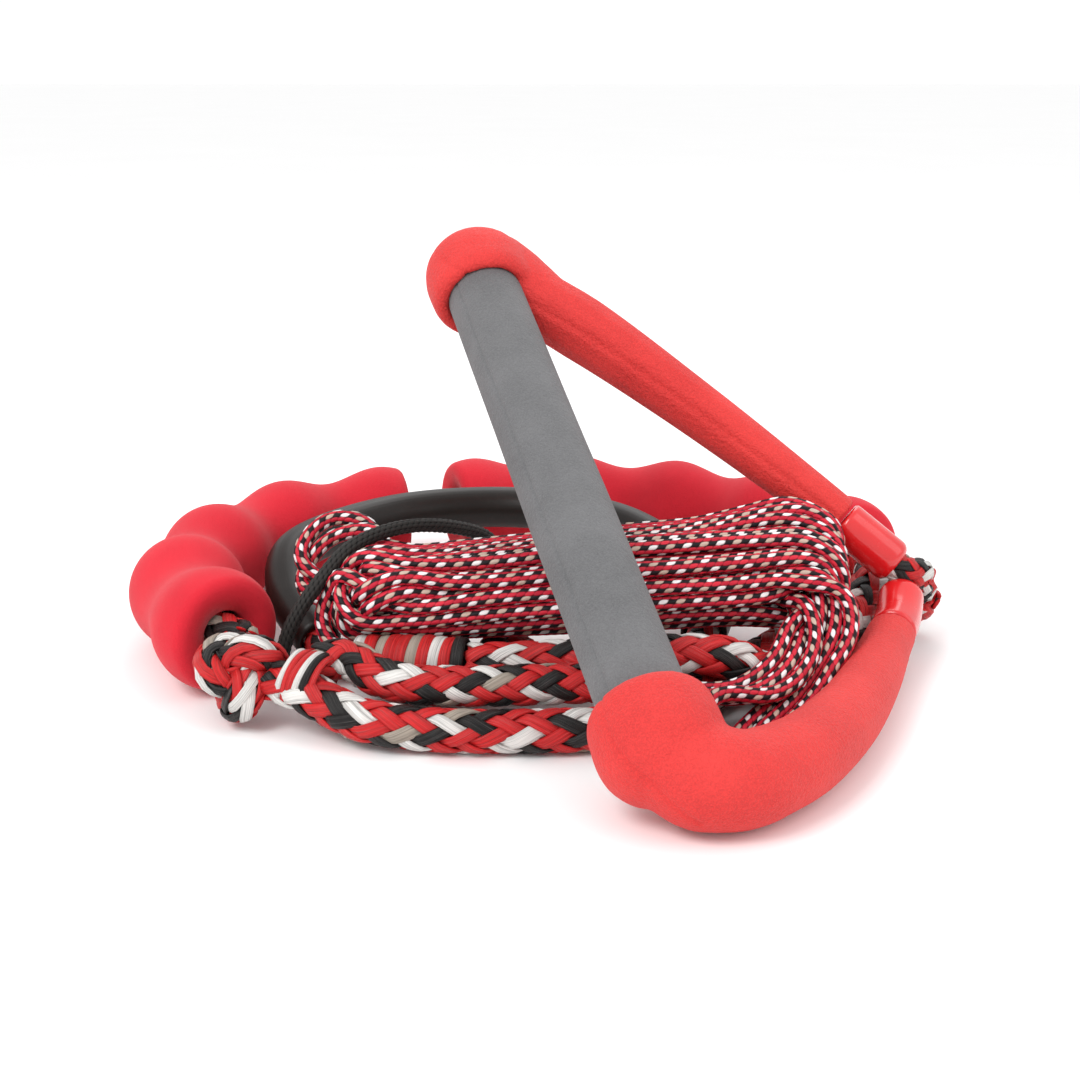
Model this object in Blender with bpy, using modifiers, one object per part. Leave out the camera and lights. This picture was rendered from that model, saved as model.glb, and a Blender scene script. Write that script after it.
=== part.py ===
"""Tow rope handle, coiled for storage.

Frame: metres, +Z up, origin on the floor under the middle of the handle and floats.
The handle stands with its lower arm on the floor, its grip rising away and to the left.
"""
import math

import bmesh
import bpy
from mathutils import Matrix, Vector

OBJECT_NAME = "tow_rope_handle"
MM = 0.001

# Handle
GRIP_R = 14.0 * MM
GRIP_LENGTH = 204.0 * MM
CORE_R = 9.5 * MM
CORE_WALL = 1.5 * MM
CORE_LENGTH = 208.0 * MM
BUSH_LENGTH = 8.0 * MM
BULB_R = 19.6 * MM
DOME_TOP = 9.5 * MM
DOME_BASE = -7.0 * MM
BULB_HALF = 21.5 * MM
BRIDLE_R = 3.6 * MM
BRIDLE_STEP = 7.5 * MM
FERRULE_R = 7.9 * MM
FERRULE_LENGTH = 26.0 * MM

UPPER_CORNER = Vector((-0.0217, 0.0584, 0.1365))
LOWER_CORNER = Vector((0.0403, -0.1441, 0.0190))
VERTEX = Vector((0.1450, 0.0106, 0.0270))
UPPER_ARM = (
    (-0.0217, 0.0584, 0.1365),
    (0.0181, 0.0455, 0.1154),
    (0.0573, 0.0326, 0.0900),
    (0.0966, 0.0196, 0.0623),
    (0.1353, 0.0067, 0.0330),
)
LOWER_ARM = (
    (0.0403, -0.1441, 0.0190),
    (0.0592, -0.1453, 0.0154),
    (0.0742, -0.1336, 0.0144),
    (0.0862, -0.1176, 0.0138),
    (0.1012, -0.0900, 0.0130),
    (0.1142, -0.0590, 0.0130),
    (0.1250, -0.0294, 0.0145),
    (0.1328, -0.0101, 0.0175),
    (0.1372, 0.0046, 0.0236),
)
UPPER_RADII = (11.5 * MM, 12.4 * MM, 10.4 * MM, 8.8 * MM, 7.9 * MM)
LOWER_RADII = tuple(r * MM for r in (13.0, 14.2, 13.2, 12.4, 11.3, 10.0, 8.8, 8.3, 8.1))

# Rope ring and floats
# each float: centre of its bend, bend radius, then its end angles in degrees
FLOAT_LEFT = (Vector((-0.0312, 0.0259, 0.0217)), 97.0 * MM, 104.2, 222.3)
FLOAT_RIGHT = (Vector((0.0133, 0.0143, 0.0217)), 124.7 * MM, 20.5, 112.4)
FLOAT_CREST_R = 21.6 * MM
FLOAT_WAIST_R = 16.8 * MM
FLOAT_CRESTS = 5
FLOAT_END = 10.0 * MM
FLOAT_BORE_R = 8.4 * MM
ROPE_R = 7.0 * MM
TAIL_R = 6.0 * MM

# Cords and knots
LINE_R = 2.9 * MM
LOW_TURNS_R = 5.4 * MM
END_LOOPS_R = 6.0 * MM
TIE_R = 2.6 * MM
HOSE_R = 8.5 * MM
HOSE_BORE_R = 6.9 * MM
LOOP_ROPE_R = 5.6 * MM
KNOT_CENTRE = Vector((-0.0947, -0.0651, 0.0178))
WHIPPING_CENTRE = Vector((-0.0722, -0.0704, 0.0172))
KNOT_SIZE = (15.2 * MM, 15.2 * MM, 16.8 * MM)

RING_END = (
    (0.1328, 0.0394, 0.0226),
    (0.1303, 0.0264, 0.0222),
    (0.1228, 0.0114, 0.0175),
    (0.1153, -0.0076, 0.0130),
    (0.1073, -0.0266, 0.0092),
    (0.0968, -0.0411, 0.0092),
    (0.0828, -0.0500, 0.0112),
    (0.0658, -0.0586, 0.0208),
    (0.0468, -0.0611, 0.0226),
    (0.0238, -0.0626, 0.0220),
    (-0.0022, -0.0616, 0.0200),
    (-0.0192, -0.0576, 0.0182),
)
LEADER = (
    (0.1483, 0.0194, 0.0180),
    (0.1468, 0.0279, 0.0105),
    (0.1358, 0.0334, 0.0076),
    (0.1168, 0.0294, 0.0074),
    (0.1023, 0.0094, 0.0074),
    (0.0878, -0.0136, 0.0074),
    (0.0728, -0.0336, 0.0074),
    (0.0618, -0.0536, 0.0074),
    (0.0468, -0.0746, 0.0074),
    (0.0268, -0.0866, 0.0074),
    (0.0038, -0.0896, 0.0074),
    (-0.0262, -0.0896, 0.0076),
    (-0.0502, -0.0861, 0.0090),
    (-0.0617, -0.0801, 0.0112),
)
TAIL = (
    (-0.0592, -0.0651, 0.0225),
    (-0.0482, -0.0731, 0.0195),
    (-0.0362, -0.0771, 0.0182),
    (-0.0162, -0.0781, 0.0182),
    (0.0038, -0.0776, 0.0185),
    (0.0228, -0.0771, 0.0190),
)
HOOP = (
    (-0.0762, -0.0096, 0.0092),
    (-0.0892, 0.0124, 0.0180),
    (-0.0922, 0.0364, 0.0270),
    (-0.0802, 0.0604, 0.0300),
    (-0.0542, 0.0884, 0.0305),
    (-0.0212, 0.0999, 0.0305),
    (0.0118, 0.0954, 0.0300),
    (0.0398, 0.0724, 0.0290),
    (0.0598, 0.0444, 0.0220),
    (0.0678, 0.0184, 0.0125),
    (0.0638, -0.0016, 0.0092),
)
HOOP_LEFT_TAIL = (
    (-0.0702, -0.0186, 0.0062),
    (-0.0522, -0.0281, 0.0060),
    (-0.0292, -0.0306, 0.0060),
    (-0.0200, -0.0303, 0.0070),
)
HOOP_RIGHT_TAIL = (
    (0.0588, -0.0106, 0.0070),
    (0.0418, -0.0226, 0.0060),
    (0.0168, -0.0288, 0.0060),
    (0.0076, -0.0292, 0.0070),
)
BOAT_KNOT_CENTRE = Vector((-0.0062, -0.0296, 0.0095))
TIE = (
    (-0.0819, -0.0371, 0.0049),
    (-0.0750, -0.0352, 0.0080),
    (-0.0650, -0.0310, 0.0138),
    (-0.0540, -0.0225, 0.0155),
    (-0.0400, -0.0100, 0.0155),
    (-0.0260, 0.0030, 0.0165),
    (-0.0150, 0.0130, 0.0215),
    (-0.0105, 0.0175, 0.0310),
    (-0.0162, 0.0134, 0.0420),
    (-0.0302, -0.0006, 0.0500),
    (-0.0462, -0.0136, 0.0530),
    (-0.0612, -0.0266, 0.0500),
    (-0.0722, -0.0361, 0.0395),
    (-0.0807, -0.0401, 0.0270),
    (-0.0847, -0.0401, 0.0160),
    (-0.0857, -0.0381, 0.0095),
)
FEED = (
    (-0.0617, -0.0481, 0.0172),
    (-0.0687, -0.0436, 0.0215),
    (-0.0727, -0.0366, 0.0270),
    (-0.0727, -0.0311, 0.0315),
    (-0.0700, -0.0291, 0.0330),
)
END_LOOPS = (
    (-0.0522, -0.0016, 0.0420),
    (-0.0642, 0.0044, 0.0460),
    (-0.0752, 0.0044, 0.0430),
    (-0.0812, -0.0026, 0.0340),
    (-0.0782, -0.0126, 0.0300),
    (-0.0702, -0.0186, 0.0330),
)

# Hank: station along X, centre Y, centre Z, half depth, half height
HANK = (
    (-0.0662, -0.0296, 0.03300, 0.0060, 0.00500),
    (-0.0622, -0.0296, 0.03325, 0.0140, 0.00975),
    (-0.0522, -0.0296, 0.03350, 0.0200, 0.01250),
    (-0.0262, -0.0286, 0.03480, 0.0250, 0.01520),
    (0.0038, -0.0266, 0.03705, 0.0290, 0.01745),
    (0.0338, -0.0236, 0.03830, 0.0320, 0.01870),
    (0.0638, -0.0176, 0.03780, 0.0330, 0.01820),
    (0.0838, -0.0096, 0.03800, 0.0320, 0.01800),
    (0.0958, -0.0116, 0.03650, 0.0240, 0.01550),
    (0.1038, -0.0156, 0.03450, 0.0160, 0.01150),
    (0.1093, -0.0196, 0.03350, 0.0070, 0.00550),
)
LOW_TURNS = (
    (0.1000, -0.0432, 0.0262),
    (0.0945, -0.0550, 0.0225),
    (0.0868, -0.0672, 0.0125),
    (0.0758, -0.0760, 0.0064),
    (0.0648, -0.0845, 0.0058),
    (0.0535, -0.0945, 0.0056),
)

MATERIALS = {}


def material(name, colour, roughness, metallic=0.0):
    """One Principled material per name."""
    if name not in MATERIALS:
        mat = bpy.data.materials.new(name)
        mat.use_nodes = True
        shader = mat.node_tree.nodes["Principled BSDF"]
        shader.inputs["Base Color"].default_value = (*colour, 1.0)
        shader.inputs["Roughness"].default_value = roughness
        shader.inputs["Metallic"].default_value = metallic
        MATERIALS[name] = mat
    return MATERIALS[name]


def smooth_path(points, spacing):
    """Points at an even spacing along a Catmull-Rom curve through the given points."""
    pts = [Vector(p) for p in points]
    padded = [2 * pts[0] - pts[1], *pts, 2 * pts[-1] - pts[-2]]
    fine = []
    for i in range(1, len(padded) - 2):
        p0, p1, p2, p3 = padded[i - 1 : i + 3]
        for k in range(24):
            t = k / 24
            fine.append(
                0.5
                * (
                    2 * p1
                    + (p2 - p0) * t
                    + (2 * p0 - 5 * p1 + 4 * p2 - p3) * t * t
                    + (3 * p1 - p0 - 3 * p2 + p3) * t * t * t
                )
            )
    fine.append(pts[-1])
    return resample(fine, spacing)


def resample(fine, spacing):
    """Even steps along a finely sampled path."""
    total = sum((b - a).length for a, b in zip(fine, fine[1:]))
    count = max(2, round(total / spacing))
    step = total / count
    out = [fine[0]]
    run = 0.0
    for a, b in zip(fine, fine[1:]):
        length = (b - a).length
        while length > 0 and run + length >= step * len(out) and len(out) < count:
            t = (step * len(out) - run) / length
            out.append(a.lerp(b, t))
        run += length
    out.append(fine[-1])
    return out


def values_along(points, stations, values):
    """Interpolated values at each path point; stations are the given points' own distances."""
    out = []
    run = 0.0
    for i, p in enumerate(points):
        if i:
            run += (p - points[i - 1]).length
        j = 0
        while j < len(stations) - 2 and run > stations[j + 1]:
            j += 1
        t = (run - stations[j]) / max(stations[j + 1] - stations[j], 1e-9)
        t = min(max(t, 0.0), 1.0)
        out.append(values[j] + (values[j + 1] - values[j]) * t)
    return out


def curve_object(name, points, radii, resolution, cyclic=False):
    """A round tube along a poly curve, with filled ends."""
    data = bpy.data.curves.new(name, "CURVE")
    data.dimensions = "3D"
    spline = data.splines.new("POLY")
    spline.points.add(len(points) - 1)
    for sp, p, r in zip(spline.points, points, radii):
        sp.co = (*p, 1.0)
        sp.radius = r / MM
    spline.use_cyclic_u = cyclic
    data.bevel_depth = MM
    data.bevel_resolution = resolution
    data.use_fill_caps = not cyclic
    return bpy.data.objects.new(name, data)


def mesh_tube(name, points, radii, resolution, cyclic=False):
    """The same tube as a closed mesh, which can take and cut Booleans."""
    curve = curve_object(name, points, radii, resolution, cyclic)
    bpy.context.scene.collection.objects.link(curve)
    bpy.context.view_layer.update()
    evaluated = curve.evaluated_get(bpy.context.evaluated_depsgraph_get())
    mesh = bpy.data.meshes.new_from_object(evaluated)
    old = curve.data
    bpy.data.objects.remove(curve)
    bpy.data.curves.remove(old)
    bm = bmesh.new()
    bm.from_mesh(mesh)
    bmesh.ops.remove_doubles(bm, verts=bm.verts, dist=1e-6)
    bmesh.ops.recalc_face_normals(bm, faces=bm.faces)
    bm.to_mesh(mesh)
    bm.free()
    return bpy.data.objects.new(name, mesh)


def turned(name, profile, steps):
    """A Screw solid from (radius, height) pairs, drawn down its outer side."""
    mesh = bpy.data.meshes.new(name)
    verts = [(r, 0.0, z) for r, z in profile]
    edges = [(i, i + 1) for i in range(len(profile) - 1)]
    if profile[0][0] > 0 and profile[-1][0] > 0:
        edges.append((len(profile) - 1, 0))
    mesh.from_pydata(verts, edges, [])
    obj = bpy.data.objects.new(name, mesh)
    screw = obj.modifiers.new("turn", "SCREW")
    screw.steps = steps
    screw.render_steps = steps
    screw.use_merge_vertices = True
    screw.merge_threshold = 0.00005
    return obj


def place(obj, origin, direction):
    """Stand the object's own +Z along a direction, at an origin."""
    turn = direction.normalized().to_track_quat("Z", "Y").to_matrix().to_4x4()
    obj.matrix_world = Matrix.Translation(origin) @ turn
    return obj


def tube_profile(outer, inner, low, high, round_mm=0.6):
    """A ring section with slightly rounded outer edges."""
    c = round_mm * MM
    return [
        (inner, high),
        (outer - c, high),
        (outer, high - c),
        (outer, low + c),
        (outer - c, low),
        (inner, low),
    ]


def boolean(target, cutter, operation="DIFFERENCE"):
    """An exact Boolean, with the cutter hidden."""
    mod = target.modifiers.new(operation.lower() + "_" + cutter.name, "BOOLEAN")
    mod.operation = operation
    mod.solver = "EXACT"
    mod.object = cutter
    cutter.display_type = "WIRE"
    cutter.hide_render = True
    cutter.hide_viewport = True
    if cutter.name not in CUTTERS.objects:
        CUTTERS.objects.link(cutter)


def finish(obj, mat, parent=None, smooth=True):
    """Give the piece its material and put it in the object's collection."""
    obj.data.materials.clear()
    obj.data.materials.append(mat)
    if obj.type == "MESH" and smooth:
        for poly in obj.data.polygons:
            poly.use_smooth = True
    for mod in obj.modifiers:
        if mod.type == "SCREW":
            mod.use_smooth_shade = smooth
    PARTS.objects.link(obj)
    if parent is not None:
        world = obj.matrix_world.copy()
        obj.parent = parent
        obj.matrix_parent_inverse = parent.matrix_world.inverted()
        obj.matrix_world = world
    return obj


def pivot(name, location, axis):
    """An empty on a joint axis, its +Z along the axis."""
    empty = bpy.data.objects.new(name, None)
    empty.empty_display_size = 0.02
    PARTS.objects.link(empty)
    place(empty, location, axis)
    bpy.context.view_layer.update()
    return empty


def bend_point(bend, degrees):
    """A point on the circle that a float is bent to."""
    centre, radius = bend[:2]
    a = math.radians(degrees)
    return centre + Vector((radius * math.cos(a), radius * math.sin(a), 0.0))


def fillet(corner, one, two, radius):
    """A corner's rounding: its tangent length, and points from arm one round to arm two."""
    half = one.angle(two) / 2
    reach = radius / math.tan(half)
    centre = corner + (one + two).normalized() * radius / math.sin(half)
    start = corner + one * reach - centre
    stop = corner + two * reach - centre
    arc = [centre + start.slerp(stop, k / 12).normalized() * radius for k in range(13)]
    return reach, arc


def corner_path():
    """The bridle's route: upper sleeve, arm, bulb, core tube, bulb, lower arm, sleeve."""
    upper = smooth_path(UPPER_ARM, 1 * MM)
    lower = smooth_path(LOWER_ARM, 1 * MM)
    axis = (LOWER_CORNER - UPPER_CORNER).normalized()
    up_dir = (upper[20] - upper[0]).normalized()
    low_dir = (lower[12] - lower[0]).normalized()
    reach_up, arc_up = fillet(UPPER_CORNER, up_dir, axis, 8 * MM)
    reach_low, arc_low = fillet(LOWER_CORNER, -axis, low_dir, 12 * MM)
    upper = [p for p in upper if (p - UPPER_CORNER).length > reach_up + 1 * MM]
    lower = [p for p in lower if (p - LOWER_CORNER).length > reach_low + 1 * MM]
    return resample([*reversed(upper), *arc_up, *arc_low, *lower], BRIDLE_STEP)


def build_handle():
    """Grip, core, arms and sleeves, all on the joint at the vertex."""
    red = material("arm_foam_red", (0.82, 0.06, 0.06), 0.75)
    gloss = material("sleeve_gloss_red", (0.80, 0.03, 0.04), 0.2)
    grey = material("grip_foam_grey", (0.20, 0.20, 0.20), 0.85)
    alloy = material("core_alloy", (0.75, 0.76, 0.78), 0.35, 1.0)
    plastic = material("bush_plastic", (0.05, 0.05, 0.05), 0.5)
    rope = material("bridle_braid", (0.70, 0.08, 0.08), 0.7)

    lift = pivot("handle_lift_axis", VERTEX, Vector((-0.316, 0.949, 0.0)))
    axis = (LOWER_CORNER - UPPER_CORNER).normalized()
    middle = (UPPER_CORNER + LOWER_CORNER) / 2
    half = GRIP_LENGTH / 2

    grip = turned("grip_foam", tube_profile(GRIP_R, CORE_R + 0.3 * MM, -half, half), 28)
    finish(place(grip, middle, axis), grey, lift)
    half = CORE_LENGTH / 2
    inner = CORE_R - CORE_WALL
    core = turned("core_tube", tube_profile(CORE_R, inner, -half, half, 0.3), 24)
    finish(place(core, middle, axis), alloy, lift)
    for name, side in (("core_bush_upper", -1), ("core_bush_lower", 1)):
        bush = turned(
            name,
            tube_profile(inner - 0.35 * MM, BRIDLE_R + 0.9 * MM, -BUSH_LENGTH / 2, BUSH_LENGTH / 2, 0.3),
            20,
        )
        finish(place(bush, middle + axis * side * (half - BUSH_LENGTH), axis), plastic, lift)

    route = corner_path()
    bridle = curve_object("bridle_rope", route, [BRIDLE_R] * len(route), 1)
    finish(bridle, rope, lift)

    for name, corner, arm, radii, away in (
        ("arm_upper", UPPER_CORNER, UPPER_ARM, UPPER_RADII, -axis),
        ("arm_lower", LOWER_CORNER, LOWER_ARM, LOWER_RADII, axis),
    ):
        pts = smooth_path(arm, 7 * MM)
        stations = [0.0]
        for a, b in zip(arm, arm[1:]):
            stations.append(stations[-1] + (Vector(b) - Vector(a)).length)
        sizes = values_along(pts, stations, radii)
        whole = sum((b - a).length for a, b in zip(pts, pts[1:]))
        end = whole - FERRULE_LENGTH
        fine = smooth_path(arm, 1 * MM)
        arm_part = resample(cut_path(fine, 0.0, end - 0.4 * MM), 7 * MM)
        arm_sizes = values_along(arm_part, stations, radii)
        sleeve_part = resample(cut_path(fine, end, whole), 4.4 * MM)
        body = bulb_solid(name, corner, away)
        limb = mesh_tube(name + "_limb", arm_part, arm_sizes, 4)
        boolean(body, limb, "UNION")
        socket_r = GRIP_R + 0.35 * MM
        socket = turned(
            name + "_socket",
            [(0.0, half), (socket_r, half), (socket_r, -half), (0.0, -half)],
            28,
        )
        # the socket takes the end of the grip; the core goes a little deeper, into its own pocket
        depth = GRIP_LENGTH / 2 + 0.4 * MM
        set_height(socket, -depth, depth)
        boolean(body, place(socket, middle, axis))
        pocket = turned(
            name + "_pocket",
            [(0.0, half), (CORE_R + 0.4 * MM, half), (CORE_R + 0.4 * MM, -half), (0.0, -half)],
            24,
        )
        set_height(pocket, -half - 0.4 * MM, half + 0.4 * MM)
        boolean(body, place(pocket, middle, axis))
        bore_radii = [BRIDLE_R + 1.0 * MM] * (len(route) + 2)
        bore = mesh_tube(name + "_bore", extended(route, 6 * MM), bore_radii, 1)
        boolean(body, bore)
        finish(body, red, lift)

        side = name.split("_")[1]
        count = len(sleeve_part)
        start_r = sizes[-4]
        radii_out = [FERRULE_R] * count
        radii_out[0] = min(start_r, FERRULE_R + 0.4 * MM)
        radii_out[-1] = FERRULE_R - 1.6 * MM
        sleeve = mesh_tube("arm_ferrule_" + side, sleeve_part, radii_out, 6)
        boolean(sleeve, bore)
        finish(sleeve, gloss, lift)
    return lift


def cut_path(fine, start, end):
    """The stretch of a finely sampled path between two distances along it."""
    out = []
    run = 0.0
    for i, p in enumerate(fine):
        if i:
            run += (p - fine[i - 1]).length
        if start <= run <= end:
            out.append(p)
    return out


def extended(points, by):
    """The path with a straight piece added at each end."""
    first = points[0] + (points[0] - points[1]).normalized() * by
    last = points[-1] + (points[-1] - points[-2]).normalized() * by
    return [first, *points, last]


def set_height(obj, low, high):
    """Move a turned solid's end rings to the two heights."""
    top = max(v.co.z for v in obj.data.vertices)
    for v in obj.data.vertices:
        v.co.z = high if v.co.z > top - 1e-6 else low


def bulb_solid(name, corner, away):
    """A bulb with a domed end and a rounded lip that cups the end of the grip."""
    r = BULB_R
    profile = [(0.0, DOME_TOP)]
    for k in range(1, 6):
        a = math.radians(90 - 18 * k)
        profile.append((r * math.cos(a), DOME_BASE + (DOME_TOP - DOME_BASE) * math.sin(a)))
    profile += [
        (r, -10.0 * MM),
        (r - 0.4 * MM, -BULB_HALF + 4.0 * MM),
        (r - 1.6 * MM, -BULB_HALF + 1.2 * MM),
        (r - 3.6 * MM, -BULB_HALF),
        (0.0, -BULB_HALF),
    ]
    return place(turned(name, profile, 24), corner, away)


def float_piece(name, bend, parent):
    """A wavy foam float, bent to its circle, with a bore for the rope."""
    radius, low, high = bend[1:]
    count = 32
    end = math.degrees(FLOAT_END / radius)
    pitch = (high - low - 2 * end) / (FLOAT_CRESTS - 1)
    points = []
    radii = []
    for k in range(count + 1):
        d = low + (high - low) * k / count
        wave = 0.5 + 0.5 * math.cos(2 * math.pi * (d - low - end) / pitch)
        points.append(bend_point(bend, d))
        radii.append(FLOAT_WAIST_R + (FLOAT_CREST_R - FLOAT_WAIST_R) * wave)
    body = mesh_tube(name, points, radii, 4)
    arc = [bend_point(bend, low - 4 + (high - low + 8) * k / 18) for k in range(19)]
    bore = mesh_tube(name + "_bore", arc, [FLOAT_BORE_R] * 19, 2)
    boolean(body, bore)
    return finish(body, material("float_foam_red", (0.80, 0.02, 0.05), 0.9), parent)


def ring_path():
    """The thick rope from the stopper knot, through both floats, to the line whipping."""
    left = [bend_point(FLOAT_LEFT, 227 - 6.3 * k) for k in range(21)]
    right = [bend_point(FLOAT_RIGHT, 115 - 5.0 * k) for k in range(21)]
    start = KNOT_CENTRE + (left[0] - KNOT_CENTRE).normalized() * 18.2 * MM
    return smooth_path([start, *left, *right, *RING_END], 14 * MM)


def ball(name, centre, size, steps=14):
    """A rounded knot body."""
    profile = []
    for k in range(9):
        a = math.radians(90 - 22.5 * k)
        profile.append((abs(math.cos(a)), math.sin(a)))
    profile[0] = (0.0, 1.0)
    profile[-1] = (0.0, -1.0)
    obj = turned(name, [(r * size[0], z * size[2]) for r, z in profile], steps)
    obj.location = centre
    return obj


def tube(name, points, radius, resolution, mat, parent=None):
    """A cord or rope piece."""
    return finish(curve_object(name, points, [radius] * len(points), resolution), mat, parent)


def hank_solid():
    """The wound main line as one closed rounded body, its underside kept flat."""
    data = bpy.data.meshes.new("main_line_hank")
    bm = bmesh.new()
    rings = []
    sides = 20
    for x, cy, cz, hy, hz in HANK:
        ring = []
        for k in range(sides):
            a = 2 * math.pi * k / sides
            c = math.copysign(abs(math.cos(a)) ** 0.8, math.cos(a))
            s = math.copysign(abs(math.sin(a)) ** 0.8, math.sin(a))
            ring.append(bm.verts.new((x, cy + hy * c, cz + hz * s)))
        rings.append(ring)
    for a, b in zip(rings, rings[1:]):
        for k in range(sides):
            bm.faces.new((a[k], b[k], b[(k + 1) % sides], a[(k + 1) % sides]))
    bm.faces.new(rings[0])
    bm.faces.new(tuple(reversed(rings[-1])))
    bmesh.ops.recalc_face_normals(bm, faces=bm.faces)
    bm.to_mesh(data)
    bm.free()
    return bpy.data.objects.new("main_line_hank", data)


def build_rope():
    """Everything that lies on the floor: thick rope, knots, hank, tie and boat loop."""
    braid = material("thick_braid", (0.72, 0.07, 0.07), 0.65)
    thin = material("line_braid", (0.60, 0.05, 0.08), 0.6)
    black = material("tie_braid_black", (0.02, 0.02, 0.02), 0.7)
    hose_mat = material("hose_black", (0.02, 0.016, 0.014), 0.35)

    ring = ring_path()
    tube("ring_rope", ring, ROPE_R, 3, braid)
    leader = smooth_path(LEADER, 10 * MM)
    tube("leader_rope", leader, ROPE_R, 3, braid)
    finish(ball("vertex_splice", VERTEX, (5.6 * MM, 5.6 * MM, 5.6 * MM)), braid)
    finish(ball("stopper_knot", KNOT_CENTRE, KNOT_SIZE, 22), braid)

    axis = Vector((0.0180, -0.0060, -0.0015))
    whip = turned("knot_whipping", tube_profile(10.0 * MM, 3.0 * MM, -5.5 * MM, 5.5 * MM, 2.0), 18)
    finish(place(whip, WHIPPING_CENTRE, axis), braid)

    tail = smooth_path(TAIL, 10 * MM)
    tube("splice_tail", tail, TAIL_R, 3, braid)
    cap = turned("splice_tail_cap", tube_profile(6.2 * MM, 2.0 * MM, -2.5 * MM, 2.5 * MM, 1.0), 18)
    out = (tail[-1] - tail[-2]).normalized()
    finish(place(cap, tail[-1] + out * 2.9 * MM, out), black)

    out = (ring[-1] - ring[-2]).normalized()
    length = 38 * MM
    axis = Vector((-0.975, 0.20, -0.05)).normalized()
    centre = ring[-1] + out * 1.6 * MM + axis * length / 2
    whip = turned("line_whipping", tube_profile(9.0 * MM, 2.5 * MM, -length / 2, length / 2, 2.5), 22)
    finish(place(whip, centre, axis), braid)

    tube("main_line_feed", smooth_path(FEED, 6 * MM), LINE_R, 2, thin)
    finish(hank_solid(), thin)
    tube("hank_low_turns", smooth_path(LOW_TURNS, 9 * MM), LOW_TURNS_R, 3, thin)
    tube("hank_end_loops", smooth_path(END_LOOPS, 7 * MM), END_LOOPS_R, 3, thin)

    tube("tie_cord", smooth_path(TIE, 6 * MM), TIE_R, 2, black)
    knot_at = Vector(TIE[-1]) + Vector((0, 0, -4.8 * MM))
    finish(ball("tie_cord_knot", knot_at, (3.4 * MM, 3.4 * MM, 3.2 * MM), 12), black)

    hoop = smooth_path(HOOP, 11 * MM)
    hose = mesh_tube("boat_loop_hose", hoop, [HOSE_R] * len(hoop), 3)
    bore = mesh_tube("boat_loop_hose_bore", extended(hoop, 4 * MM), [HOSE_BORE_R] * (len(hoop) + 2), 3)
    boolean(hose, bore)
    finish(hose, hose_mat)
    whole = [*reversed(HOOP_LEFT_TAIL), *HOOP, *HOOP_RIGHT_TAIL]
    tube("boat_loop_rope", smooth_path(whole, 11 * MM), LOOP_ROPE_R, 2, braid)
    finish(ball("boat_loop_knot", BOAT_KNOT_CENTRE, (12.0 * MM, 12.0 * MM, 9.0 * MM)), braid)


for stale in list(bpy.data.objects):
    bpy.data.objects.remove(stale, do_unlink=True)
PARTS = bpy.data.collections.new(OBJECT_NAME)
bpy.context.scene.collection.children.link(PARTS)
CUTTERS = bpy.data.collections.new("cutters")
CUTTERS.hide_render = True
CUTTERS.hide_viewport = True
bpy.context.scene.collection.children.link(CUTTERS)

build_handle()
UP = Vector((0.0, 0.0, 1.0))
float_piece("float_left", FLOAT_LEFT, pivot("float_left_axis", FLOAT_LEFT[0], UP))
float_piece("float_right", FLOAT_RIGHT, pivot("float_right_axis", FLOAT_RIGHT[0], UP))
build_rope()
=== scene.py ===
"""Looks of a coiled tow rope with its handle: moulded foam, woven ropes and a wound line.

Lengths are in metres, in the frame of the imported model. Every cord is swept from its route.
"""

import math

import bmesh
import bpy
import numpy as np
from mathutils import Matrix, Vector


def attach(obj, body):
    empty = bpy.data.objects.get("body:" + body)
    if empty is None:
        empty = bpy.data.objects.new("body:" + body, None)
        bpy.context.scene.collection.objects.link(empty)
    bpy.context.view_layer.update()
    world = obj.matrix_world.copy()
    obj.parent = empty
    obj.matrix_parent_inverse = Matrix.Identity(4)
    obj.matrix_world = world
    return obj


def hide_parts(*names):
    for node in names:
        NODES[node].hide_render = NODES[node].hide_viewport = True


MM = 0.001
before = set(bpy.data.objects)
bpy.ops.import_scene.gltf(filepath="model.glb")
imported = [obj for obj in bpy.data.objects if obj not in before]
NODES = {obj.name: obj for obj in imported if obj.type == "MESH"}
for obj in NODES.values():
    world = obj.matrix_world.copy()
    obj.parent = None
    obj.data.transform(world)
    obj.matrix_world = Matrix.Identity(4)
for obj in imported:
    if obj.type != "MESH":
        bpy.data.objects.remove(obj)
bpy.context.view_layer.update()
SCENE = bpy.context.scene
RNG = np.random.default_rng(7)

# Camera
CAMERA_AT = (0.0038, -0.5836, 0.212)
CAMERA_TILT = 74.0
CAMERA_LENS = 55.83

# Handle
GRIP_R = 14.0 * MM
GRIP_LENGTH = 204.0 * MM
VERTEX = np.array((0.1450, 0.0106, 0.0270))
FERRULE_R = 7.9 * MM
FERRULE_LENGTH = 26.0 * MM
UPPER_ARM = (
    (-0.0217, 0.0584, 0.1365),
    (0.0181, 0.0455, 0.1154),
    (0.0573, 0.0326, 0.0900),
    (0.0966, 0.0196, 0.0623),
    (0.1353, 0.0067, 0.0330),
)
LOWER_ARM = (
    (0.0403, -0.1441, 0.0190),
    (0.0592, -0.1453, 0.0154),
    (0.0742, -0.1336, 0.0144),
    (0.0862, -0.1176, 0.0138),
    (0.1012, -0.0900, 0.0130),
    (0.1142, -0.0590, 0.0130),
    (0.1250, -0.0294, 0.0145),
    (0.1328, -0.0101, 0.0175),
    (0.1372, 0.0046, 0.0236),
)
LOWER_RADII = tuple(r * MM for r in (13.0, 14.2, 13.2, 12.4, 11.3, 10.0, 8.8, 8.3, 8.1))
UPPER_CORNER = np.array(UPPER_ARM[0])
LOWER_CORNER = np.array(LOWER_ARM[0])

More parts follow.
